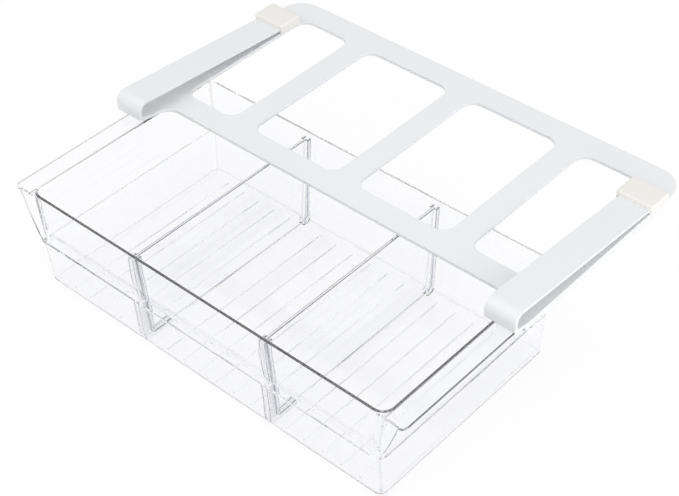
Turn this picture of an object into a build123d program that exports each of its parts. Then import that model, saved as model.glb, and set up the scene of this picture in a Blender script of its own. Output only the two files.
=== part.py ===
from build123d import *
import os
from math import asin, atan2, cos, hypot, sin

# Fridge drawer organizer: a white frame clips over the front edge of a fridge shelf
# and carries a clear drawer in two rails under its sides.
# Millimetres. X runs across, -Y is the side the drawer pulls out to, Z is up.
# The origin is the middle of the footprint, on the drawer's underside, with the
# drawer pulled out as stored. Heights are measured from there.

# ---------------------------------------------------------------- driving sizes
# Drawer tray, measured on the outside
tray_height = 73.0
rim_half_width = 145.0
rim_length = 157.3
rim_corner = 9.0
wall = 1.8
floor_thickness = 2.0

# The tray narrows downwards and has a ledge round its front and sides
ledge_height = 35.0
ledge_inset = 3.1
side_step = 0.8
base_inset = 1.0
ledge_ahead_of_rim = 0.7
base_behind_rim = 1.1
rear_lean = 4.0
base_corner = 6.0
bottom_radius = 5.0

# Finger scoop in the front wall, from its start down to the ledge
scoop_depth = 3.8
scoop_start_height = 60.0

# Runner flanges along both sides of the tray, and the webs under their front ends
flange_width = 13.0
flange_thickness = 1.8
flange_below_rim = 0.65
flange_corner = 4.0
web_thickness = 1.8
web_inner_overlap = 2.0
web_bulge = 1.0

# Ribs on the tray's floor
rib_pitch = 14.3
rib_width = 1.3
rib_height = 0.8
rib_front_gap = 5.0
rib_rear_gap = 9.0

# Dividers and their guides
divider_offset = 53.4
divider_thickness = 2.0
divider_below_rim = 4.0
divider_end_gap = 0.6
divider_corner = 2.5
divider_lean = 4.2
guide_wall = 1.5
guide_overlap = 2.5
rear_guide_top_depth = 3.6
rear_guide_base_depth = 6.4
foot_length = 13.0
foot_height = 3.6

# White frame plate with four windows
plate_overhang = 1.8
plate_depth = 151.0
plate_thickness = 2.6
plate_rear_corner = 18.0
front_bar = 17.4
rear_bar = 18.3
centre_bar = 17.0
side_bar = 17.4
inner_window_width = 71.2
window_corner = 9.0
strip_blend = 10.0

# Clip arms, folded back over the frame's side strips
arm_width = 22.0
arm_root_thickness = 2.3
arm_tip_thickness = 1.8
fold_reach = 24.0
fold_height = 13.0
fold_radius = 7.0
strip_rise = 2.0
arm_tip_height = 2.8
arm_tip_inset = 27.8

# Grip caps on the arms' ends
cap_side_wall = 2.1
cap_length = 18.7
cap_end_wall = 3.2
cap_height = 6.9
cap_radius = 1.5

# Rails under the side strips
rail_wall = 1.6
rail_lip = 12.6
rail_front_reach = 11.6
rail_rear_inset = 24.7

# How far the tray's front stands ahead of the frame plate's front edge
pull_out = 114.65

# Clearances
rim_gap = 1.45
running_gap = 0.3
side_gap = 0.6
knuckle_gap = 0.3
seat_gap = 0.3

# ---------------------------------------------------------------- derived places
overall_depth = plate_depth + pull_out
tray_front_y = -overall_depth / 2
plate_rear_y = overall_depth / 2
plate_front_y = plate_rear_y - plate_depth

ledge_half_width = rim_half_width - ledge_inset
base_half_width = ledge_half_width - base_inset
rim_front_y = tray_front_y + ledge_ahead_of_rim
rim_rear_y = rim_front_y + rim_length
base_front_y = rim_front_y + base_behind_rim
base_rear_y = rim_rear_y - rear_lean
ledge_rear_y = rim_rear_y - rear_lean * (tray_height - ledge_height) / tray_height

plate_bottom = tray_height + rim_gap
plate_top = plate_bottom + plate_thickness

flange_top = tray_height - flange_below_rim
flange_bottom = flange_top - flange_thickness
flange_outer = rim_half_width + flange_width

divider_top = tray_height - divider_below_rim
divider_base = floor_thickness + seat_gap

rail_inner_face = flange_outer + side_gap
rail_outer_face = rail_inner_face + rail_wall
plate_half_width = rail_outer_face + plate_overhang

arm_inner = plate_half_width - arm_width
fold_front_y = plate_front_y - fold_reach
arm_tip_y = plate_rear_y - arm_tip_inset
hinge_y = fold_front_y + arm_root_thickness / 2
hinge_z = plate_top + fold_height - fold_radius

rail_front_y = plate_front_y - rail_front_reach
rail_rear_y = plate_rear_y - rail_rear_inset


# ---------------------------------------------------------------- helpers
def block(x, y, z):
    """A box given by its low and high X, Y and Z."""
    size = [high - low for low, high in (x, y, z)]
    middle = [(high + low) / 2 for low, high in (x, y, z)]
    return Pos(*middle) * Box(*size)


def across(points, x_low, x_high):
    """A closed outline of (y, z) points, drawn across from x_low to x_high."""
    face = make_face(Polyline([(x_low, y, z) for y, z in points], close=True))
    return extrude(face, amount=x_high - x_low, dir=(1, 0, 0))


def section(half_width, front_y, rear_y, z, corner):
    """A rounded rectangle at one height."""
    outline = RectangleRounded(2 * half_width, rear_y - front_y, corner)
    return Pos(0, (front_y + rear_y) / 2, z) * outline


def mirrored(shape):
    """The same shape on the other side of the middle."""
    return mirror(shape, about=Plane.YZ)


def bottom_edges(shape):
    """The edges round the underside of a shape."""
    return shape.faces().sort_by(Axis.Z)[0].edges()


def front_inner_y(z):
    """Where the straight front edge of a divider stands at a height."""
    bulge_y = rim_front_y + scoop_depth + wall + divider_end_gap
    return bulge_y + divider_lean * (ledge_height - z) / tray_height


def rear_inner_y(z):
    """The inner face of the tray's rear wall at a height."""
    return base_rear_y - wall + rear_lean * z / tray_height


# ---------------------------------------------------------------- drawer tray
def scoop_hollow(inset):
    """The space in front of the scooped wall, moved back by inset, across the tray."""
    front = tray_front_y - wall
    top = Vector(0, rim_front_y + inset, scoop_start_height)
    deep = Vector(0, rim_front_y + scoop_depth + inset, ledge_height)
    curve = TangentArc(top, deep, tangent=(0, 0, -1))
    rest = Polyline([deep, (0, front, ledge_height), (0, front, scoop_start_height), top])
    reach = rim_half_width + wall
    return extrude(make_face(curve + rest), amount=reach, both=True, dir=(1, 0, 0))


def tray_shell():
    """Walls, floor, ledge and finger scoop."""
    upper = loft([
        section(rim_half_width, rim_front_y, rim_rear_y, tray_height, rim_corner),
        section(ledge_half_width - side_step, rim_front_y, ledge_rear_y, ledge_height,
                rim_corner),
    ])
    lower = loft([
        section(ledge_half_width, tray_front_y, ledge_rear_y, ledge_height, base_corner),
        section(base_half_width, base_front_y, base_rear_y, 0, base_corner),
    ])
    lower = fillet(bottom_edges(lower), bottom_radius)
    outer = upper + lower - scoop_hollow(0)

    above = 1.0
    ledge_under = ledge_height - wall
    upper_room = loft([
        section(rim_half_width - wall, rim_front_y + wall, rim_rear_y - wall,
                tray_height, rim_corner - wall),
        section(ledge_half_width - side_step - wall, rim_front_y + wall,
                ledge_rear_y - wall, ledge_height, rim_corner - wall),
    ])
    mouth = Pos(0, 0, tray_height) * extrude(
        section(rim_half_width - wall, rim_front_y + wall, rim_rear_y - wall, 0,
                rim_corner - wall), amount=above)
    neck = Pos(0, 0, ledge_under) * extrude(
        section(ledge_half_width - side_step - wall, rim_front_y + scoop_depth + wall,
                ledge_rear_y - wall, 0, base_corner), amount=wall)
    lower_room = loft([
        section(ledge_half_width - wall, tray_front_y + wall, ledge_rear_y - wall,
                ledge_under, base_corner - wall),
        section(base_half_width - wall, base_front_y + wall, base_rear_y - wall,
                floor_thickness, base_corner - wall),
    ])
    lower_room = fillet(bottom_edges(lower_room), bottom_radius - wall)
    return outer - (upper_room - scoop_hollow(wall)) - neck - mouth - lower_room


def runner_flange():
    """The right-hand flange that slides in the rail, with the web under its front end."""
    inner = rim_half_width - wall / 2
    flange = block((inner, flange_outer), (tray_front_y, rim_rear_y - rim_corner),
                   (flange_bottom, flange_top))
    outer_corners = flange.edges().filter_by(Axis.Z).group_by(Axis.X)[-1]
    flange = fillet(outer_corners, flange_corner)

    top_z = flange_bottom + flange_thickness / 2
    foot_z = ledge_height - wall / 2
    web_inner = rim_half_width - rim_corner - web_inner_overlap
    web_outer = flange_outer - flange_corner
    foot_x = ledge_half_width - base_corner / 2
    middle = Vector((web_outer + foot_x) / 2 + web_bulge, tray_front_y,
                    (top_z + foot_z) / 2 - web_bulge)
    edge = ThreePointArc((web_outer, tray_front_y, top_z), middle,
                         (foot_x, tray_front_y, foot_z))
    rest = Polyline([(foot_x, tray_front_y, foot_z), (web_inner, tray_front_y, foot_z),
                     (web_inner, tray_front_y, top_z), (web_outer, tray_front_y, top_z)])
    web = extrude(make_face(edge + rest), amount=web_thickness, dir=(0, 1, 0))
    return flange + web


def floor_ribs():
    """Low ribs along the floor, with none under the dividers."""
    ribs = []
    front = base_front_y + rib_front_gap
    rear = base_rear_y - rib_rear_gap
    free_half = base_half_width - bottom_radius - rib_width
    step = 0.5
    while step * rib_pitch < free_half:
        x = step * rib_pitch
        if abs(x - divider_offset) > rib_pitch / 2:
            for side in (-1, 1):
                ribs.append(block((side * x - rib_width / 2, side * x + rib_width / 2),
                                  (front, rear),
                                  (floor_thickness / 2, floor_thickness + rib_height)))
        step += 1
    return ribs


def guide_cheeks(outline):
    """Two walls of one outline, one each side of the right-hand divider."""
    slot_half = divider_thickness / 2 + running_gap
    inner = across(outline, divider_offset - slot_half - guide_wall,
                   divider_offset - slot_half)
    outer = across(outline, divider_offset + slot_half,
                   divider_offset + slot_half + guide_wall)
    return [inner, outer]


def divider_guides():
    """Guide walls for the right-hand divider on the front wall, floor and rear wall.

    They are sunk half a wall deep, and at half the scoop's height its arc is a quarter
    as deep as at the ledge.
    """
    sink = wall / 2
    floor_z = floor_thickness / 2
    front_face = rim_front_y + scoop_depth + sink
    foot_end = front_inner_y(0) + guide_overlap + foot_length
    front = guide_cheeks([
        (rim_front_y + sink, divider_top),
        (front_inner_y(divider_top) + guide_overlap, divider_top),
        (front_inner_y(foot_height) + guide_overlap, floor_thickness + foot_height),
        (foot_end, floor_thickness + foot_height),
        (foot_end, floor_z),
        (base_front_y + sink + bottom_radius - wall, floor_z),
        (base_front_y + sink, floor_z + bottom_radius - wall),
        (tray_front_y + sink, ledge_height - wall),
        (front_face, ledge_height - sink),
        (rim_front_y + sink + scoop_depth / 4, (ledge_height + scoop_start_height) / 2),
        (rim_front_y + sink, scoop_start_height),
    ])
    rear = guide_cheeks([
        (rear_inner_y(divider_top) + sink, divider_top),
        (rear_inner_y(divider_top) - rear_guide_top_depth, divider_top),
        (rear_inner_y(floor_z) - rear_guide_base_depth, floor_z + wall),
        (rear_inner_y(floor_z) - rear_guide_base_depth + wall, floor_z),
        (rear_inner_y(0) - bottom_radius + wall, floor_z),
        (rear_inner_y(0) + sink / 2, floor_z + bottom_radius - wall),
    ])
    return front + rear


def drawer_tray():
    """The clear tray as one moulding."""
    tray = tray_shell()
    flange = runner_flange()
    tray = tray + flange + mirrored(flange)
    for rib in floor_ribs():
        tray = tray + rib
    for cheek in divider_guides():
        tray = tray + cheek + mirrored(cheek)
    return tray


def divider(side):
    """A clear divider that drops into its guides from above."""
    x_low = side * divider_offset - divider_thickness / 2
    rear_top = rear_inner_y(divider_top) - divider_end_gap
    rear_base = rear_inner_y(divider_base) - divider_end_gap
    corner_clear = bottom_radius - wall
    outline = [
        (front_inner_y(divider_top), divider_top),
        (rear_top, divider_top),
        (rear_base, divider_base + corner_clear),
        (rear_base - corner_clear, divider_base),
        (front_inner_y(divider_base) + corner_clear, divider_base),
        (front_inner_y(divider_base), divider_base + corner_clear),
    ]
    plate = across(outline, x_low, x_low + divider_thickness)
    top_corners = plate.edges().filter_by(Axis.X).group_by(Axis.Z)[-1]
    return fillet(top_corners, divider_corner)


# ---------------------------------------------------------------- white frame
def windows():
    """The four window openings, as solids to cut."""
    low = plate_front_y + front_bar
    high = plate_rear_y - rear_bar
    inner_edges = (centre_bar / 2, centre_bar / 2 + inner_window_width)
    outer_edges = (inner_edges[1] + side_bar, arm_inner)
    cuts = []
    for near, far in (inner_edges, outer_edges):
        for side in (-1, 1):
            outline = RectangleRounded(far - near, high - low, window_corner)
            place = Pos(side * (near + far) / 2, (low + high) / 2, plate_bottom)
            cuts.append(place * extrude(outline, amount=plate_thickness))
    return cuts


def plate_body():
    """The flat plate with its windows, and the side strips back from the rails' front."""
    plate = block((-plate_half_width, plate_half_width), (plate_front_y, plate_rear_y),
                  (plate_bottom, plate_top))
    rear_corners = plate.edges().filter_by(Axis.Z).group_by(Axis.Y)[-1]
    plate = fillet(rear_corners, plate_rear_corner)
    for side in (-1, 1):
        x = sorted((side * arm_inner, side * plate_half_width))
        plate = plate + block(x, (rail_front_y, plate_front_y), (plate_bottom, plate_top))
        square = block(sorted((side * (arm_inner - strip_blend), side * arm_inner)),
                       (plate_front_y - strip_blend, plate_front_y),
                       (plate_bottom, plate_top))
        round_cut = Pos(side * (arm_inner - strip_blend), plate_front_y - strip_blend,
                        (plate_bottom + plate_top) / 2)
        plate = plate + (square - round_cut * Cylinder(strip_blend, plate_thickness))
    for cut in windows():
        plate = plate - cut
    return plate


def fold_root():
    """The right-hand strip's front end, which rises a little and turns up to the hinge."""
    front, inner = fold_front_y, fold_front_y + arm_root_thickness
    low, high = plate_bottom + strip_rise, plate_top + strip_rise
    root = across([
        (rail_front_y, plate_bottom), (front, low), (front, hinge_z),
        (inner, hinge_z), (inner, high), (rail_front_y, plate_top),
    ], arm_inner, plate_half_width)
    centre = Pos((arm_inner + plate_half_width) / 2, hinge_y, hinge_z)
    trough = Cylinder(arm_root_thickness / 2 + knuckle_gap, arm_width, rotation=(0, 90, 0))
    return root - centre * trough


def frame_plate():
    """Plate, strips and the lower halves of both folds."""
    root = fold_root()
    return plate_body() + root + mirrored(root)


def clip_arm():
    """The right-hand spring arm: a rounded fold, then a leg that slopes to its tip."""
    centre_y = fold_front_y + fold_radius
    centre_z = hinge_z
    tip_z = plate_top + arm_tip_height
    dy, dz = arm_tip_y - centre_y, tip_z - centre_z
    slope = asin(fold_radius / hypot(dy, dz)) - atan2(dz, dy)
    inner_radius = fold_radius - arm_root_thickness
    half = arm_root_thickness / 2

    def on_fold(radius, angle):
        """A point of the fold's arc, with the angle taken from straight up."""
        return Vector(arm_inner, centre_y + radius * sin(angle),
                      centre_z + radius * cos(angle))

    quarter = atan2(1, 0)
    middle = (slope - quarter) / 2
    tip_top = Vector(arm_inner, arm_tip_y, tip_z)
    tip_low = Vector(arm_inner, arm_tip_y, tip_z - arm_tip_thickness)
    outline = ThreePointArc(on_fold(fold_radius, -quarter), on_fold(fold_radius, middle),
                            on_fold(fold_radius, slope))
    outline += Polyline([on_fold(fold_radius, slope), tip_top, tip_low,
                         on_fold(inner_radius, slope)])
    outline += ThreePointArc(on_fold(inner_radius, slope), on_fold(inner_radius, middle),
                             on_fold(inner_radius, -quarter))
    nose = Vector(arm_inner, hinge_y, hinge_z - half)
    outline += ThreePointArc(on_fold(inner_radius, -quarter), nose,
                             on_fold(fold_radius, -quarter))
    return extrude(make_face(outline), amount=arm_width, dir=(1, 0, 0))


def grip_cap():
    """The right-hand soft cap, moulded over the arm's tip."""
    rear = arm_tip_y + cap_end_wall
    cap = block((arm_inner - cap_side_wall, plate_half_width + cap_side_wall),
                (rear - cap_length, rear),
                (plate_top + seat_gap, plate_top + seat_gap + cap_height))
    cap = fillet(cap.edges(), cap_radius)
    return cap - clip_arm()


def slide_rail():
    """The right-hand rail: a side wall and a lip that the flange runs on."""
    lip_top = flange_bottom - running_gap
    lip_bottom = lip_top - rail_wall
    along = (rail_front_y, rail_rear_y)
    side = block((rail_inner_face, rail_outer_face), along, (lip_bottom, plate_bottom))
    lip = block((rail_outer_face - rail_lip, rail_outer_face), along,
                (lip_bottom, lip_top))
    return side + lip


# ---------------------------------------------------------------- all pieces
def pieces():
    """Every node's name and shape."""
    arm, cap, rail = clip_arm(), grip_cap(), slide_rail()
    return {
        "frame_plate": frame_plate(),
        "slide_rail_left": mirrored(rail),
        "slide_rail_right": rail,
        "clip_arm_left": mirrored(arm),
        "clip_arm_right": arm,
        "grip_cap_left": mirrored(cap),
        "grip_cap_right": cap,
        "drawer_tray": drawer_tray(),
        "divider_left": divider(-1),
        "divider_right": divider(1),
    }


os.makedirs("parts", exist_ok=True)
for name, shape in pieces().items():
    export_step(shape, f"parts/{name}.step")
    print(name, len(shape.solids()), round(shape.volume))
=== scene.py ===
"""Looks for a clip-on fridge drawer organizer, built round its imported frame.

A white moulding with two folded spring arms clips over the front edge of a shelf, and a
clear drawer with two lift-out dividers runs in rails under it. Lengths are metres in the
frame's own axes: X across, -Y the way the drawer pulls out, Z up.
"""

import logging
import math
from dataclasses import dataclass
from enum import Enum

import bmesh
import bpy
from mathutils import Matrix, Vector

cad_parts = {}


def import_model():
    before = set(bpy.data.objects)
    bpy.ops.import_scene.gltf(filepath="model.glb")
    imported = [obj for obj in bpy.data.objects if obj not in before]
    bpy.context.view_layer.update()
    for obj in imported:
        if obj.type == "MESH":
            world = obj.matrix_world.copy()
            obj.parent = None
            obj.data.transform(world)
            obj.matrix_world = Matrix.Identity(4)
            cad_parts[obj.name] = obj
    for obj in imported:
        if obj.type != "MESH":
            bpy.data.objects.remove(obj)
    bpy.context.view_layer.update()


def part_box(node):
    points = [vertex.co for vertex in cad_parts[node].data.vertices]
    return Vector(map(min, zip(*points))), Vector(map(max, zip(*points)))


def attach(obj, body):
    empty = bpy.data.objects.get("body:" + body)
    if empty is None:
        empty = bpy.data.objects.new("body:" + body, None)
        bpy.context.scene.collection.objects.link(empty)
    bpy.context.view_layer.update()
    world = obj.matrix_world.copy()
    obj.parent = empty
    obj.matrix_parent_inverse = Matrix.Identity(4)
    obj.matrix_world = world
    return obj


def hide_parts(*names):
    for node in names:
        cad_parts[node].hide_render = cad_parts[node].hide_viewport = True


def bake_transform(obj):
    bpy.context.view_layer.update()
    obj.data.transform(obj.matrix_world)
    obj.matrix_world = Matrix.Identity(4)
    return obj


LOG = logging.getLogger("organizer")
MM = 0.001
WELD = 2e-6
NEAR = 1e-5
FLAT = math.radians(0.3)
LIGHT_BOUNCES = 64
DIFFUSE_BOUNCES = 8
PAINTED_EDGE_SHADE = "painted_edge_shade"
Colour = tuple[float, float, float]
Place = tuple[float, float, float]
WHITE: Colour = (1.0, 1.0, 1.0)


class Side(Enum):
    """The two sides of the organizer, seen by someone facing the fridge."""

    LEFT = -1
    RIGHT = 1

    @property
    def label(self) -> str:
        """The side's name, as in the frame's node names."""
        return self.name.lower()


# ------------------------------------------------------------------ node trees
class Sock:
    """An output socket that takes part in arithmetic, each sum adding its Math node."""

    def __init__(self, maker: "NodeMaker", socket: bpy.types.NodeSocket) -> None:
        """Wraps one output socket of the maker's tree."""
        self.maker = maker
        self.socket = socket

    def _math(self, operation: str, first: object, second: object = 0.0) -> "Sock":
        """One Math node.

        Args:
            operation: The Math node's operation.
            first: Its first value or socket.
            second: Its second value or socket.

        Returns:
            The node's result.
        """
        return self.maker.node("ShaderNodeMath", {"operation": operation}, {0: first, 1: second})

    def __add__(self, other: object) -> "Sock":
        """This plus other."""
        return self._math("ADD", self, other)

    __radd__ = __add__

    def __sub__(self, other: object) -> "Sock":
        """This less other."""
        return self._math("SUBTRACT", self, other)

    def __rsub__(self, other: object) -> "Sock":
        """Other less this."""
        return self._math("SUBTRACT", other, self)

    def __mul__(self, other: object) -> "Sock":
        """This times other."""
        return self._math("MULTIPLY", self, other)

    __rmul__ = __mul__

    def __lt__(self, other: object) -> "Sock":
        """1 where this is less than other."""
        return self._math("LESS_THAN", self, other)

    def __gt__(self, other: object) -> "Sock":
        """1 where this is more than other."""
        return self._math("GREATER_THAN", self, other)

    def __abs__(self) -> "Sock":
        """This without its sign."""
        return self._math("ABSOLUTE", self)

    def at_most(self, other: object) -> "Sock":
        """The smaller of this and other."""
        return self._math("MINIMUM", self, other)

    def at_least(self, other: object) -> "Sock":
        """The larger of this and other."""
        return self._math("MAXIMUM", self, other)


class NodeMaker:
    """Makes and joins the nodes of one shader or geometry tree."""

    def __init__(self, tree: bpy.types.NodeTree) -> None:
        """Starts on an empty tree."""
        self.tree = tree
        tree.nodes.clear()

    def feed(self, socket: bpy.types.NodeSocket, value: object) -> None:
        """Links a Sock to an input, or sets the input's own value.

        Args:
            socket: The input.
            value: A Sock, or a plain value.
        """
        if isinstance(value, Sock):
            self.tree.links.new(value.socket, socket)
        else:
            socket.default_value = value

    def node(
        self,
        kind: str,
        settings: dict[str, object] | None = None,
        sockets: dict[str | int, object] | None = None,
        out: str | int = 0,
    ) -> Sock:
        """One node of any kind.

        Args:
            kind: The node's type.
            settings: What is set on the node itself; "stops" are a ramp's places and colours.
            sockets: Values or links of its inputs, by name or number.
            out: The output that is handed back.

        Returns:
            That output.
        """
        made = self.tree.nodes.new(kind)
        for name, value in (settings or {}).items():
            if name == "stops":
                self._set_stops(made.color_ramp, value)
            else:
                setattr(made, name, value)
        for name, value in (sockets or {}).items():
            self.feed(made.inputs[name], value)
        return Sock(self, made.outputs[out] if len(made.outputs) else None)

    @staticmethod
    def _set_stops(ramp: bpy.types.ColorRamp, stops: list[tuple[float, Colour]]) -> None:
        """Gives a colour ramp its stops.

        Args:
            ramp: The ramp, which starts with two stops.
            stops: A place and a colour for each stop.
        """
        while len(ramp.elements) < len(stops):
            ramp.elements.new(1.0)
        for element, (place, colour) in zip(ramp.elements, stops):
            element.position = place
            element.color = (*colour, 1.0)

    def blend(self, factor: object, first: object, second: object) -> Sock:
        """A Mix node on two colours."""
        sockets = {0: factor, 6: first, 7: second}
        return self.node("ShaderNodeMix", {"data_type": "RGBA"}, sockets, out=2)

    def noise(self, place: Sock, scale: float, detail: float = 2.0) -> Sock:
        """Noise from 0 to 1 at a place, with scale in cells per metre."""
        sockets = {"Vector": place, "Scale": scale, "Detail": detail}
        return self.node("ShaderNodeTexNoise", None, sockets)


# ------------------------------------------------------------------ finishes
def rgba(colour: Colour) -> tuple[float, float, float, float]:
    """A colour with full opacity."""
    return (*colour, 1.0)


@dataclass(frozen=True)
class Finish:
    """What every finish shares: a name, and the start and end of its node tree."""

    name: str

    def _start(self) -> tuple[bpy.types.Material, NodeMaker, Sock]:
        """An empty material.

        Returns:
            The material, its node maker and the piece's own coordinates.
        """
        material = bpy.data.materials.new(self.name)
        material.use_nodes = True
        maker = NodeMaker(material.node_tree)
        place = maker.node("ShaderNodeTexCoord", out="Object")
        return material, maker, place

    @staticmethod
    def _end(maker: NodeMaker, surface: Sock) -> None:
        """Joins the surface shader to the material's output."""
        maker.node("ShaderNodeOutputMaterial", None, {"Surface": surface})


@dataclass(frozen=True)
class SatinMoulding(Finish):
    """White or cream plastic from a spark-eroded mould: satin, with a very fine grain."""

    colour: Colour
    shade: Colour
    roughness: float
    grain_scale: float
    grain_depth: float
    grain_strength: float = 0.35
    grain_swing: float = 0.1
    cloud_scale: float = 18.0
    cloud_detail: float = 3.0
    cloud_swing: float = 0.12
    ior: float = 1.5

    def make(self) -> bpy.types.Material:
        """Builds the material.

        Returns:
            The new material.
        """
        material, maker, place = self._start()
        cloud = maker.noise(place, self.cloud_scale, self.cloud_detail)
        grain = maker.noise(place, self.grain_scale)
        uneven = (cloud - 0.5) * self.cloud_swing + (grain - 0.5) * self.grain_swing
        relief = {"Strength": self.grain_strength, "Distance": self.grain_depth, "Height": grain}
        sockets = {
            "Base Color": maker.blend(cloud, rgba(self.colour), rgba(self.shade)),
            "Roughness": self.roughness + uneven,
            "IOR": self.ior,
            "Normal": maker.node("ShaderNodeBump", None, relief),
        }
        self._end(maker, maker.node("ShaderNodeBsdfPrincipled", None, sockets))
        return material


@dataclass(frozen=True)
class ClearMoulding(Finish):
    """Clear styrene: see-through, polished, with the slow ripple of a moulded wall.

    Painted shade darkens its rounded edges, and near-black painted shade lies along the front and
    right rims only; both stand in for the dark lines that refraction draws where a wall is seen
    edge-on.
    """

    colour: Colour
    # Base colours of painted shade: on rounded edges, and near-black on the front and right rims.
    edge_shade_colour: Colour
    rim_shade_colour: Colour
    roughness: float
    ripple_scale: float
    ripple_depth: float
    ripple_strength: float = 0.3
    ripple_swing: float = 0.02
    # Where the rims' painted shade lies, and how strong it is on each side.
    rim_low: float = 72.4 * MM
    rim_front: float = -129.0 * MM
    rim_side: float = 140.0 * MM
    fade: float = 2.0 * MM
    front_painted_shade: float = 0.97
    side_painted_shade: float = 0.9
    ior: float = 1.36

    def _rim_shade_share(self, maker: NodeMaker, place: Sock) -> Sock:
        """How strong the rims' painted shade is.

        Args:
            maker: The material's node maker.
            place: The piece's own coordinates.

        Returns:
            The painted shade's share, which fades to 0 away from the front and right rims.
        """
        parts = maker.tree.nodes.new("ShaderNodeSeparateXYZ")
        maker.feed(parts.inputs[0], place)
        x, y, z = (Sock(maker, part) for part in parts.outputs)
        # Painted shade: dark only along the front and right rims, not along the rear and left ones.
        front = ((self.rim_front - y) * (1 / self.fade)).at_most(self.front_painted_shade)
        side = ((x - self.rim_side) * (1 / self.fade)).at_most(self.side_painted_shade)
        return front.at_least(side).at_least(0.0) * (self.rim_low < z)

    def make(self) -> bpy.types.Material:
        """Builds the material.

        Returns:
            The new material.
        """
        material, maker, place = self._start()
        ripple = maker.noise(place, self.ripple_scale, 1.0)
        # Painted shade on rounded edges and rims, in place of the dark lines that refraction draws.
        painted_edge_shade = maker.node("ShaderNodeAttribute", {"attribute_name": PAINTED_EDGE_SHADE}, out="Fac")
        edge_shaded = maker.blend(painted_edge_shade, rgba(self.colour), rgba(self.edge_shade_colour))
        rim = self._rim_shade_share(maker, place)
        relief = {"Strength": self.ripple_strength, "Distance": self.ripple_depth, "Height": ripple}
        sockets = {
            "Base Color": maker.blend(rim, edge_shaded, rgba(self.rim_shade_colour)),
            "Roughness": self.roughness + ripple * self.ripple_swing,
            "IOR": self.ior,
            "Transmission Weight": 1.0,
            "Normal": maker.node("ShaderNodeBump", None, relief),
        }
        self._end(maker, maker.node("ShaderNodeBsdfPrincipled", None, sockets))
        return material


@dataclass(frozen=True)
class PaperFloor(Finish):
    """White studio paper: white to the eye and behind glass, with a soft shadow kept."""

    colour: Colour
    glow: float
    roughness: float = 0.9
    fibre_swing: float = 0.1
    fibre_scale: float = 900.0

    def make(self) -> bpy.types.Material:
        """Builds the material.

        Returns:
            The new material.
        """
        material, maker, place = self._start()
        fibre = maker.noise(place, self.fibre_scale)
        seen = maker.node("ShaderNodeLightPath", out="Is Camera Ray")
        behind = maker.node("ShaderNodeLightPath", out="Is Transmission Ray")
        mirrored = maker.node("ShaderNodeLightPath", out="Is Glossy Ray")
        eye = seen.at_least(behind).at_least(mirrored)
        matt = self.roughness + fibre * self.fibre_swing
        paper = maker.node("ShaderNodeBsdfDiffuse", None,
                           {"Color": rgba(self.colour), "Roughness": matt})
        white = maker.node("ShaderNodeEmission", None, {"Color": rgba(WHITE)})
        sockets = {0: eye * self.glow, 1: paper, 2: white}
        self._end(maker, maker.node("ShaderNodeMixShader", None, sockets))
        return material


# ------------------------------------------------------------------ mesh helpers
def node_copy(node: str) -> bmesh.types.BMesh:
    """A frame node's mesh, with its loose triangles welded and its flat faces whole.

    Args:
        node: The frame node's name.

    Returns:
        A mesh to work on.
    """
    mesh = bmesh.new()
    mesh.from_mesh(bpy.data.objects[node].data)
    bmesh.ops.remove_doubles(mesh, verts=mesh.verts, dist=WELD)
    bmesh.ops.dissolve_limit(mesh, angle_limit=FLAT, verts=mesh.verts, edges=mesh.edges)
    return mesh


def round_edges(
    mesh: bmesh.types.BMesh, edges: list, radius: float, steps: int = 2, painted_shade_strength: float = 1.0
) -> None:
    """Rounds edges of a mesh, and marks the new faces for painted shade in its attribute named
    PAINTED_EDGE_SHADE.

    Args:
        mesh: The mesh.
        edges: Its edges to be rounded.
        radius: How much is taken off.
        steps: How many faces go round each edge.
        painted_shade_strength: How strongly a clear piece's painted edge shade shows there.
    """
    painted_shade_layer = mesh.faces.layers.float.get(PAINTED_EDGE_SHADE) or mesh.faces.layers.float.new(PAINTED_EDGE_SHADE)
    made = bmesh.ops.bevel(
        mesh, geom=edges, offset=radius, segments=steps, profile=0.5, affect="EDGES",
        clamp_overlap=False,
    )
    # Painted shade: a clear finish darkens these faces in place of the dark lines that refraction
    # draws at edges.
    for face in made["faces"]:
        face[painted_shade_layer] = painted_shade_strength


def sharp_edges(mesh: bmesh.types.BMesh, least_angle: float = math.radians(35)) -> list:
    """The edges where two faces meet at more than an angle."""
    return [e for e in mesh.edges if len(e.link_faces) == 2 and e.calc_face_angle() > least_angle]


def grown(
    tree: bpy.types.GeometryNodeTree, values: dict[str, object], name: str
) -> bpy.types.Object:
    """A plain mesh object grown by a geometry tree.

    Args:
        tree: The tree.
        values: Its inputs, by their names.
        name: The new object's name.

    Returns:
        The object, with no modifier left on it.
    """
    piece = bpy.data.objects.new(name, bpy.data.meshes.new(name))
    bpy.context.scene.collection.objects.link(piece)
    growth = piece.modifiers.new("growth", "NODES")
    growth.node_group = tree
    for item in tree.interface.items_tree:
        if item.item_type == "SOCKET" and item.in_out == "INPUT":
            growth[item.identifier] = values[item.name]
    graph = bpy.context.evaluated_depsgraph_get()
    plain = bpy.data.meshes.new_from_object(piece.evaluated_get(graph))
    piece.modifiers.clear()
    piece.data = plain
    return piece


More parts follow.
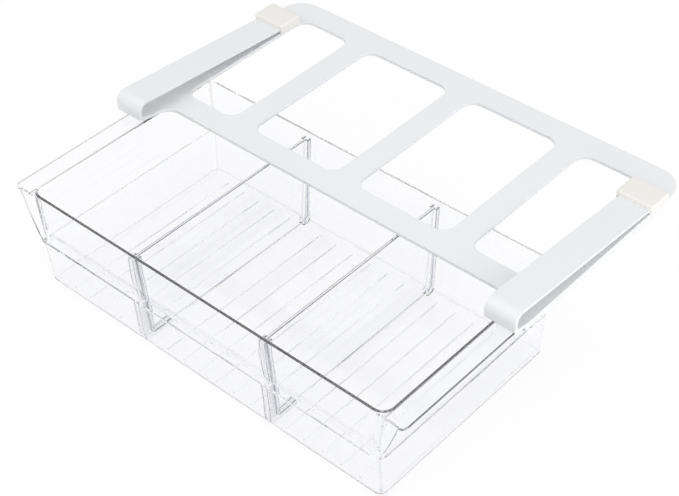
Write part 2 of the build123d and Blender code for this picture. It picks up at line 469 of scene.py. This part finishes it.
@dataclass
class SubAssembly:
    """What every sub-assembly shares: how a finished mesh becomes a piece."""

    def publish(
        self, mesh: bmesh.types.BMesh, name: str, finish: bpy.types.Material, smooth: float = 32.0
    ) -> bpy.types.Object:
        """Makes an object of a mesh, at the origin, with its sharp edges marked.

        Args:
            mesh: The finished mesh, which is used up.
            name: The piece's name.
            finish: Its material.
            smooth: The angle in degrees up to which faces are shaded as one.

        Returns:
            The new object.
        """
        data = bpy.data.meshes.new(name)
        for face in mesh.faces:
            face.smooth = True
        for edge in mesh.edges:
            angle = edge.calc_face_angle(0.0) if len(edge.link_faces) == 2 else math.pi
            edge.smooth = angle < math.radians(smooth)
        mesh.to_mesh(data)
        mesh.free()
        data.materials.append(finish)
        piece = bpy.data.objects.new(name, data)
        bpy.context.scene.collection.objects.link(piece)
        return piece

    def settle(self, piece: bpy.types.Object) -> None:
        """Makes a plain mesh of a piece and its modifiers, with its flat faces shaded flat.

        Args:
            piece: The piece, which keeps no modifier.
        """
        weigh = piece.modifiers.new("flat_faces", "WEIGHTED_NORMAL")
        weigh.mode, weigh.weight, weigh.keep_sharp = "FACE_AREA", 90, True
        graph = bpy.context.evaluated_depsgraph_get()
        plain = bpy.data.meshes.new_from_object(piece.evaluated_get(graph))
        piece.modifiers.clear()
        piece.data = plain
        LOG.info("%s: %d faces", piece.name, len(plain.polygons))

    def seat(self, piece: bpy.types.Object, body: str, node: str, slot: str) -> None:
        """Settles a piece and rides it on a body in the place of a frame node.

        Args:
            piece: The piece.
            body: The body that carries it.
            node: The frame node that it takes the place of.
            slot: Not used.
        """
        self.settle(piece)
        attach(piece, body)
        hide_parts(node)


# ------------------------------------------------------------------ white frame
@dataclass
class FrameMoulding(SubAssembly):
    """The plate with four windows and side strips, and the drawer's two rails."""

    finish: bpy.types.Material
    edge_radius: float = 0.5 * MM
    rail_radius: float = 0.3 * MM

    def build_plate(self) -> None:
        """The plate, cut off where the arms' pieces take over the strips."""
        mesh = node_copy("frame_plate")
        cut_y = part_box("slide_rail_right")[0].y
        geometry = [*mesh.verts, *mesh.edges, *mesh.faces]
        bmesh.ops.bisect_plane(
            mesh, geom=geometry, dist=1e-7, plane_co=(0, cut_y, 0), plane_no=(0, -1, 0),
            clear_outer=True,
        )
        open_edges = [e for e in mesh.edges if e.is_boundary]
        bmesh.ops.holes_fill(mesh, edges=open_edges)
        arrises = [
            e for e in sharp_edges(mesh)
            if not all(abs(v.co.y - cut_y) < NEAR for v in e.verts)
        ]
        round_edges(mesh, arrises, self.edge_radius)
        plate = self.publish(mesh, "frame_plate_moulding", self.finish)
        self.seat(plate, "frame", "frame_plate", "white_plastic")

    def build_rail(self, side: Side) -> None:
        """One rail, with its arrises taken off.

        Args:
            side: The rail's side.
        """
        node = f"slide_rail_{side.label}"
        mesh = node_copy(node)
        round_edges(mesh, sharp_edges(mesh), self.rail_radius)
        rail = self.publish(mesh, f"{node}_moulding", self.finish)
        self.seat(rail, "frame", node, "white_plastic")

    def build(self) -> None:
        """The plate and both rails."""
        self.build_plate()
        for side in Side:
            self.build_rail(side)


@dataclass
class ClipArm(SubAssembly):
    """One spring arm, as a ribbon from the strip round the fold to its tip, and its cap."""

    side: Side
    finish: bpy.types.Material
    cap_finish: bpy.types.Material
    strip_thickness: float = 2.6 * MM
    root_thickness: float = 2.3 * MM
    tip_thickness: float = 1.8 * MM
    strip_rise: float = 2.0 * MM
    fold_radius: float = 7.0 * MM
    front_corner: float = 2.0 * MM
    inner_spread: float = 0.25 * MM
    edge_radius: float = 0.5 * MM
    edge_steps: int = 2
    corner_steps: int = 4
    arc_steps: int = 14
    leg_steps: int = 24
    bend_low: float = 1.2 * MM
    bend_length: float = 8.7 * MM
    bend_lean: float = 0.1

    def __post_init__(self) -> None:
        """Reads the arm's place from the frame."""
        low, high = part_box(f"clip_arm_{self.side.label}")
        rail_low, rail_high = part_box(f"slide_rail_{self.side.label}")
        self.x_low, self.x_high = low.x, high.x
        self.front_y, self.tip_y = low.y, high.y
        self.top_z, self.tip_low_z = high.z, low.z
        self.strip_y = rail_low.y
        self.strip_top_z = rail_high.z + self.strip_thickness
        self.centre_y = self.front_y + self.fold_radius
        self.centre_z = self.top_z - self.fold_radius

    def _ribbon(self) -> list[tuple[Vector, Vector]]:
        """The ribbon's stations, each an outer and an inner (y, z) point.

        Returns:
            Pairs from the strip's cut, forwards, up, round the fold and back to the tip.
        """
        thick = self.root_thickness
        low = self.strip_top_z - self.strip_thickness + self.strip_rise
        cut_low = Vector((self.strip_y, low - self.strip_rise))
        cut_high = Vector((self.strip_y, self.strip_top_z))
        stations = [(cut_low, cut_high)]
        inner_corner = Vector((self.front_y + thick, self.strip_top_z + self.strip_rise))
        corner = Vector((self.front_y + self.front_corner, low + self.front_corner))
        halfway = self.corner_steps / 2
        for step in range(self.corner_steps + 1):
            angle = math.radians(90 * step / self.corner_steps)
            reach = Vector((-math.sin(angle), -math.cos(angle))) * self.front_corner
            spread = self.inner_spread * (step - halfway) / halfway
            inner = inner_corner + Vector((max(-spread, 0.0), max(spread, 0.0)))
            stations.append((corner + reach, inner))
        centre = Vector((self.centre_y, self.centre_z))
        tip = Vector((self.tip_y, self.tip_low_z + self.tip_thickness)) - centre
        slope = math.asin(self.fold_radius / tip.length) - math.atan2(tip.y, tip.x)
        for step in range(self.arc_steps + 1):
            angle = -math.pi / 2 + (slope + math.pi / 2) * step / self.arc_steps
            reach = Vector((math.sin(angle), math.cos(angle)))
            stations.append((centre + reach * self.fold_radius,
                             centre + reach * (self.fold_radius - thick)))
        leg_outer, leg_inner = stations[-1]
        tip_outer = centre + tip
        tip_inner = Vector((self.tip_y, self.tip_low_z))
        for step in range(1, self.leg_steps + 1):
            share = step / self.leg_steps
            stations.append((leg_outer.lerp(tip_outer, share), leg_inner.lerp(tip_inner, share)))
        return stations

    def _ring(self, outer: Vector, inner: Vector) -> list[Vector]:
        """The ribbon's outline at one station, with its four edges rounded.

        Args:
            outer: The (y, z) point on the outer face.
            inner: The (y, z) point on the inner face.

        Returns:
            Points in the frame's axes, in order round the outline.
        """
        radius = self.edge_radius
        thick = (inner - outer).length
        ring = []
        corners = (
            (self.x_low + radius, radius, 180), (self.x_high - radius, radius, 270),
            (self.x_high - radius, thick - radius, 0), (self.x_low + radius, thick - radius, 90),
        )
        for x, depth, start in corners:
            for step in range(self.edge_steps + 1):
                angle = math.radians(start + 90 * step / self.edge_steps)
                share = (depth + radius * math.sin(angle)) / thick
                place = outer.lerp(inner, share)
                ring.append(Vector((x + radius * math.cos(angle), place.x, place.y)))
        return ring

    def build_arm(self) -> None:
        """The ribbon's mesh, which takes the place of the frame's arm node."""
        mesh = bmesh.new()
        rings = [[mesh.verts.new(p) for p in self._ring(*s)] for s in self._ribbon()]
        for first, second in zip(rings, rings[1:]):
            for index in range(len(first)):
                after = (index + 1) % len(first)
                mesh.faces.new((first[index], first[after], second[after], second[index]))
        mesh.faces.new(rings[0][::-1])
        mesh.faces.new(rings[-1])
        bmesh.ops.recalc_face_normals(mesh, faces=mesh.faces)
        arm = self.publish(mesh, f"clip_arm_{self.side.label}_moulding", self.finish)
        self.settle(arm)
        up = Vector((0.0, self.bend_lean, 1.0)).normalized()
        start = Vector((0.0, self.strip_y, self.strip_top_z + self.bend_low))
        end = start + up * self.bend_length
        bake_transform(arm)
        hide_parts(f"clip_arm_{self.side.label}")

    def build_cap(self) -> None:
        """The soft cap over the arm's tip."""
        node = f"grip_cap_{self.side.label}"
        mesh = node_copy(node)
        cap = self.publish(mesh, f"{node}_sleeve", self.cap_finish)
        self.seat(cap, f"arm_{self.side.label}", node, "cream_rubber")

    def build(self) -> None:
        """The arm and its cap."""
        self.build_arm()
        self.build_cap()


# ------------------------------------------------------------------ clear drawer
@dataclass
class DrawerTray(SubAssembly):
    """The clear tray, with round-topped ribs laid along its floor."""

    finish: bpy.types.Material
    floor_top: float = 2.0 * MM
    rib_height: float = 0.8 * MM
    rib_crown: float = 0.8 * MM
    rib_width: float = 1.5 * MM
    rib_sides: int = 16
    rib_pitch: float = 14.3 * MM
    rib_count: int = 20
    rib_front_gap: float = 6.8 * MM
    rib_length: float = 138.2 * MM
    divider_offset: float = 53.4 * MM
    rim_radius: float = 0.6 * MM
    rim_steps: int = 3
    # How dark the painted shade is on the rim's rounded faces.
    rim_painted_shade: float = 0.1
    guide_radius: float = 0.35 * MM
    guide_reach: float = 3.5 * MM
    guide_foot_gap: float = 0.1 * MM
    guide_top: float = 69.5 * MM
    # How dark the painted shade is on the guides' cheeks.
    cheek_painted_shade: float = 0.1
    cheek_turn: float = 0.9
    flange_radius: float = 0.25 * MM
    flange_inner: float = 143.0 * MM
    flange_top: float = 72.4 * MM
    web_foot: float = 36.0 * MM
    middle_y: float = -54.0 * MM
    # How dark the painted shade is on the base's corners and bottom edges, in place of refraction's
    # dark lines.
    corner_painted_shade: float = 0.2
    corner_turn: float = 0.62
    corner_tilt: float = 0.2
    bottom_turn: tuple[float, float] = (0.6, 0.8)

    def _levelled_copy(self) -> bmesh.types.BMesh:
        """The tray with its floor levelled, because its ribs are laid on separately.

        Returns:
            A mesh to work on.
        """
        mesh = node_copy("drawer_tray")
        crest = self.floor_top + self.rib_height
        for vert in mesh.verts:
            if abs(vert.co.z - crest) < WELD:
                vert.co.z = self.floor_top
        bmesh.ops.remove_doubles(mesh, verts=mesh.verts, dist=WELD)
        bmesh.ops.dissolve_degenerate(mesh, edges=mesh.edges, dist=WELD)
        bmesh.ops.dissolve_limit(mesh, angle_limit=FLAT, verts=mesh.verts, edges=mesh.edges)
        return mesh

    def _rib_tree(self) -> bpy.types.GeometryNodeTree:
        """The node tree that lays the ribs.

        Returns:
            A tree with named inputs for the ribs' sizes.
        """
        tree = bpy.data.node_groups.new("floor_ribs", "GeometryNodeTree")
        maker = NodeMaker(tree)
        face = tree.interface
        face.new_socket("Geometry", in_out="OUTPUT", socket_type="NodeSocketGeometry")
        for name in ("Pitch", "Width", "Height", "Length", "Front", "Floor", "Divider Offset"):
            face.new_socket(name, in_out="INPUT", socket_type="NodeSocketFloat")
        for name in ("Count", "Sides"):
            face.new_socket(name, in_out="INPUT", socket_type="NodeSocketInt")
        face.new_socket("Finish", in_out="INPUT", socket_type="NodeSocketMaterial")
        asked = tree.nodes.new("NodeGroupInput")
        given = {s.name: Sock(maker, s) for s in asked.outputs if s.name}

        first = (1 - given["Count"]) * 0.5 * given["Pitch"]
        middle = given["Front"] + given["Length"] * 0.5
        start = maker.node("ShaderNodeCombineXYZ", None, {0: first, 1: middle, 2: given["Floor"]})
        step = maker.node("ShaderNodeCombineXYZ", None, {0: given["Pitch"]})
        line = maker.node("GeometryNodeMeshLine", None,
                          {"Count": given["Count"], "Start Location": start, "Offset": step})
        place = maker.node("GeometryNodeInputPosition")
        x = maker.node("ShaderNodeSeparateXYZ", None, {0: place})
        under_divider = abs(abs(x) - given["Divider Offset"]) < given["Pitch"] * 0.5
        kept = maker.node("GeometryNodeDeleteGeometry", {"domain": "POINT"},
                          {"Geometry": line, "Selection": under_divider})
        rod = maker.node("GeometryNodeMeshCylinder", None,
                         {"Vertices": given["Sides"], "Radius": 0.5, "Depth": 1.0})
        lying = maker.node("GeometryNodeTransform", None,
                           {"Geometry": rod, "Rotation": (math.pi / 2, 0.0, 0.0)})
        size = maker.node("ShaderNodeCombineXYZ", None,
                          {0: given["Width"], 1: given["Length"], 2: given["Height"] * 2})
        rib = maker.node("GeometryNodeTransform", None, {"Geometry": lying, "Scale": size})
        laid = maker.node("GeometryNodeInstanceOnPoints", None, {"Points": kept, "Instance": rib})
        real = maker.node("GeometryNodeRealizeInstances", None, {"Geometry": laid})
        dressed = maker.node("GeometryNodeSetMaterial", None,
                             {"Geometry": real, "Material": given["Finish"]})
        maker.node("NodeGroupOutput", None, {"Geometry": dressed})
        return tree

    def _ribs(self) -> bpy.types.Object:
        """All ribs as one plain mesh.

        Returns:
            The ribs' object.
        """
        values = {
            "Pitch": self.rib_pitch, "Width": self.rib_width, "Height": self.rib_crown,
            "Length": self.rib_length, "Front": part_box("drawer_tray")[0].y + self.rib_front_gap,
            "Floor": self.floor_top, "Divider Offset": self.divider_offset,
            "Count": self.rib_count, "Sides": self.rib_sides, "Finish": self.finish,
        }
        return grown(self._rib_tree(), values, "floor_ribs")

    def _outside_edges(self, mesh: bmesh.types.BMesh) -> list:
        """The tray's sharp outside edges, apart from those that run across it.

        Args:
            mesh: The tray's mesh.

        Returns:
            The edges, each of which goes less than half its length across.
        """
        return [
            e for e in sharp_edges(mesh, math.radians(50))
            if e.is_convex and abs(e.verts[0].co.x - e.verts[1].co.x) < 0.5 * e.calc_length()
        ]

    def _round_rim(self, mesh: bmesh.types.BMesh) -> None:
        """Rounds the rim's two edges, with faint painted shade on the new faces.

        Args:
            mesh: The tray's mesh.
        """
        rim_z = max(v.co.z for v in mesh.verts)
        rim = [e for e in sharp_edges(mesh) if all(abs(v.co.z - rim_z) < NEAR for v in e.verts)]
        round_edges(mesh, rim, self.rim_radius, self.rim_steps, self.rim_painted_shade)

    def _in_guide(self, place: Vector) -> bool:
        """True for a place in a divider guide."""
        across = abs(abs(place.x) - self.divider_offset)
        return across < self.guide_reach and self.floor_top < place.z < self.guide_top

    def _round_guides(self, mesh: bmesh.types.BMesh) -> None:
        """Rounds the divider guides' outside edges with painted shade on them, and paints faint
        shade on their cheeks.

        Args:
            mesh: The tray's mesh, with its rim rounded.
        """
        lift = Vector((0.0, 0.0, self.guide_foot_gap))
        guides = [
            e for e in self._outside_edges(mesh)
            if all(self._in_guide(v.co - lift) for v in e.verts)
        ]
        round_edges(mesh, guides, self.guide_radius)
        painted_shade_layer = mesh.faces.layers.float.get(PAINTED_EDGE_SHADE)
        for face in mesh.faces:
            sideways = abs(face.normal.x) > self.cheek_turn
            if sideways and not face[painted_shade_layer] and self._in_guide(face.calc_center_median()):
                face[painted_shade_layer] = self.cheek_painted_shade

    def _round_flanges(self, mesh: bmesh.types.BMesh) -> None:
        """Rounds the runner flanges' and webs' long outside edges, with painted shade on the new
        faces.

        Args:
            mesh: The tray's mesh.
        """
        flanges = [
            e for e in self._outside_edges(mesh)
            if all(abs(v.co.x) > self.flange_inner and self.web_foot < v.co.z < self.flange_top
                   for v in e.verts)
        ]
        round_edges(mesh, flanges, self.flange_radius)

    def _turns_out(self, face: bmesh.types.BMFace) -> bool:
        """True for a face that looks away from the tray's middle."""
        away = face.calc_center_median().xy - Vector((0.0, self.middle_y))
        return face.normal.xy.dot(away) > 0.0

    def _paint_corner_shade(self, mesh: bmesh.types.BMesh) -> None:
        """Paints shade on the middle of the base's outward-facing rounded corners and bottom edges.

        Args:
            mesh: The tray's mesh, with its edges rounded.
        """
        painted_shade_layer = mesh.faces.layers.float.get(PAINTED_EDGE_SHADE)
        least, most = self.bottom_turn
        for face in mesh.faces:
            x, y, z = face.normal
            corner = min(abs(x), abs(y)) > self.corner_turn and abs(z) < self.corner_tilt
            bottom = least < -z < most
            if (corner or bottom) and self._turns_out(face):
                face[painted_shade_layer] = self.corner_painted_shade

    def build(self) -> None:
        """The tray with its ribs, as one closed mesh."""
        mesh = self._levelled_copy()
        self._round_rim(mesh)
        self._round_guides(mesh)
        self._round_flanges(mesh)
        self._paint_corner_shade(mesh)
        tray = self.publish(mesh, "drawer_tray_moulding", self.finish)
        ribs = self._ribs()
        join = tray.modifiers.new("ribs", "BOOLEAN")
        join.operation, join.solver, join.object = "UNION", "EXACT", ribs
        self.seat(tray, "drawer", "drawer_tray", "clear_plastic")
        bpy.data.objects.remove(ribs)


@dataclass
class Divider(SubAssembly):
    """One lift-out divider, with its arrises taken off and painted shade on the rounded faces."""

    side: Side
    finish: bpy.types.Material
    edge_radius: float = 0.3 * MM

    def build(self) -> None:
        """The divider."""
        node = f"divider_{self.side.label}"
        mesh = node_copy(node)
        round_edges(mesh, sharp_edges(mesh), self.edge_radius)
        piece = self.publish(mesh, f"{node}_plate", self.finish)
        self.seat(piece, node, node, "clear_plastic")


# ------------------------------------------------------------------ studio
@dataclass
class Studio:
    """White paper floor, an even white room, a large soft lamp and a fill lamp."""

    floor_size: float = 12.0
    floor_drop: float = 0.1 * MM
    floor_colour: Colour = (0.95, 0.95, 0.95)
    floor_glow: float = 0.9
    room_light: float = 0.82
    horizon: Colour = (0.12, 0.13, 0.18)
    low_wall: Colour = (0.2, 0.21, 0.28)
    low_wall_height: float = 0.16
    ceiling_height: float = 0.45
    lamp_power: float = 7.0
    lamp_size: float = 1.4
    lamp_place: Place = (-0.3, -1.1, 1.5)
    fill_power: float = 13.0
    fill_place: Place = (1.75, -0.3, 0.57)

    def build_floor(self) -> None:
        """The floor under the drawer."""
        finish = PaperFloor("studio_paper", self.floor_colour, self.floor_glow).make()
        mesh = bmesh.new()
        bmesh.ops.create_grid(mesh, x_segments=2, y_segments=2, size=self.floor_size / 2)
        for vert in mesh.verts:
            vert.co.z = -self.floor_drop
        data = bpy.data.meshes.new("studio_floor")
        mesh.to_mesh(data)
        mesh.free()
        data.materials.append(finish)
        floor = bpy.data.objects.new("studio_floor", data)
        bpy.context.scene.collection.objects.link(floor)

    def build_room(self) -> None:
        """The room: even light, white to the eye, and dark near the horizon in reflections."""
        world = bpy.data.worlds.new("studio_room")
        world.use_nodes = True
        maker = NodeMaker(world.node_tree)
        direction = maker.node("ShaderNodeTexCoord", out="Generated")
        height = maker.node("ShaderNodeSeparateXYZ", None, {0: direction}, out="Z")
        mirrored = maker.node("ShaderNodeLightPath", out="Is Glossy Ray")
        through = maker.node("ShaderNodeLightPath", out="Is Transmission Ray")
        sharp = mirrored.at_least(through)
        stops = [(0.0, self.horizon), (self.low_wall_height, self.low_wall),
                 (self.ceiling_height, WHITE)]
        seen = maker.node("ShaderNodeValToRGB", {"stops": stops}, {0: height})
        even = rgba((self.room_light,) * 3)
        camera = maker.node("ShaderNodeLightPath", out="Is Camera Ray")
        colour = maker.blend(camera, maker.blend(sharp, even, seen), rgba(WHITE))
        sky = maker.node("ShaderNodeBackground", None, {"Color": colour, "Strength": 1.0})
        maker.node("ShaderNodeOutputWorld", None, {"Surface": sky})
        bpy.context.scene.world = world

    def build_lamp(self, name: str, power: float, place: Place) -> None:
        """One round soft lamp that faces the organizer.

        Args:
            name: The lamp's name.
            power: Its power in watts.
            place: Where it hangs.
        """
        data = bpy.data.lights.new(name, "AREA")
        data.energy = power
        data.shape = "DISK"
        data.size = self.lamp_size
        lamp = bpy.data.objects.new(name, data)
        lamp.location = place
        lamp.rotation_mode = "QUATERNION"
        lamp.rotation_quaternion = (-Vector(place)).to_track_quat("-Z", "Y")
        bpy.context.scene.collection.objects.link(lamp)

    def build(self) -> None:
        """Floor, room and lamps."""
        self.build_floor()
        self.build_room()
        self.build_lamp("soft_lamp", self.lamp_power, self.lamp_place)
        self.build_lamp("fill_lamp", self.fill_power, self.fill_place)


@dataclass
class PhotoView:
    """The photograph's camera: where it looks, from where, and how far it is tilted."""

    target: Place = (40.5 * MM, -50.9 * MM, 77.05 * MM)
    distance: float = 912.9 * MM
    azimuth: float = 42.93
    elevation: float = 41.50
    roll: float = -1.84
    sensor: float = 36.0
    lens: float = 82.63
    nearest: float = 0.01
    farthest: float = 50.0

    def build(self) -> None:
        """Makes the scene's camera."""
        around, above = math.radians(self.azimuth), math.radians(self.elevation)
        back = Vector((math.sin(around) * math.cos(above), -math.cos(around) * math.cos(above),
                       math.sin(above)))
        right = Vector((math.cos(around), math.sin(around), 0.0))
        up = back.cross(right)
        tilt = math.radians(self.roll)
        across = math.cos(tilt) * right + math.sin(tilt) * up
        upright = -math.sin(tilt) * right + math.cos(tilt) * up
        place = Vector(self.target) + back * self.distance
        data = bpy.data.cameras.new("photo_view")
        data.sensor_width = self.sensor
        data.lens = self.lens
        data.clip_start, data.clip_end = self.nearest, self.farthest
        camera = bpy.data.objects.new("photo_view", data)
        turn = Matrix((across, upright, back)).transposed().to_4x4()
        camera.matrix_world = Matrix.Translation(place) @ turn
        bpy.context.scene.collection.objects.link(camera)
        bpy.context.scene.camera = camera


def main() -> None:
    """Builds and dresses the organizer, then the studio round it."""
    logging.basicConfig(level=logging.INFO, format="%(name)s %(message)s")
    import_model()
    white = SatinMoulding(
        "white_moulding", colour=(0.80, 0.81, 0.825), shade=(0.78, 0.79, 0.81),
        roughness=0.42, grain_scale=5200.0, grain_depth=0.02 * MM,
    ).make()
    cream = SatinMoulding(
        "cream_rubber_sleeve", colour=(0.81, 0.80, 0.765), shade=(0.79, 0.78, 0.74),
        roughness=0.6, grain_scale=3200.0, grain_depth=0.03 * MM,
    ).make()
    # The clear finish's edge and rim colours are painted shade, not the plastic's tint.
    clear = ClearMoulding(
        "clear_styrene", colour=(0.983, 0.985, 1.0), edge_shade_colour=(0.03, 0.032, 0.055),
        rim_shade_colour=(0.002, 0.0024, 0.007), roughness=0.01, ripple_scale=60.0,
        ripple_depth=0.05 * MM,
    ).make()
    FrameMoulding(white).build()
    for side in Side:
        ClipArm(side, white, cream).build()
    DrawerTray(clear).build()
    for side in Side:
        Divider(side, clear).build()
    Studio().build()
    PhotoView().build()
    scene = bpy.context.scene
    scene.view_settings.view_transform = "Standard"
    scene.cycles.max_bounces = LIGHT_BOUNCES
    scene.cycles.diffuse_bounces = DIFFUSE_BOUNCES
    scene.cycles.glossy_bounces = LIGHT_BOUNCES
    scene.cycles.transmission_bounces = LIGHT_BOUNCES


if __name__ == "__main__":
    main()
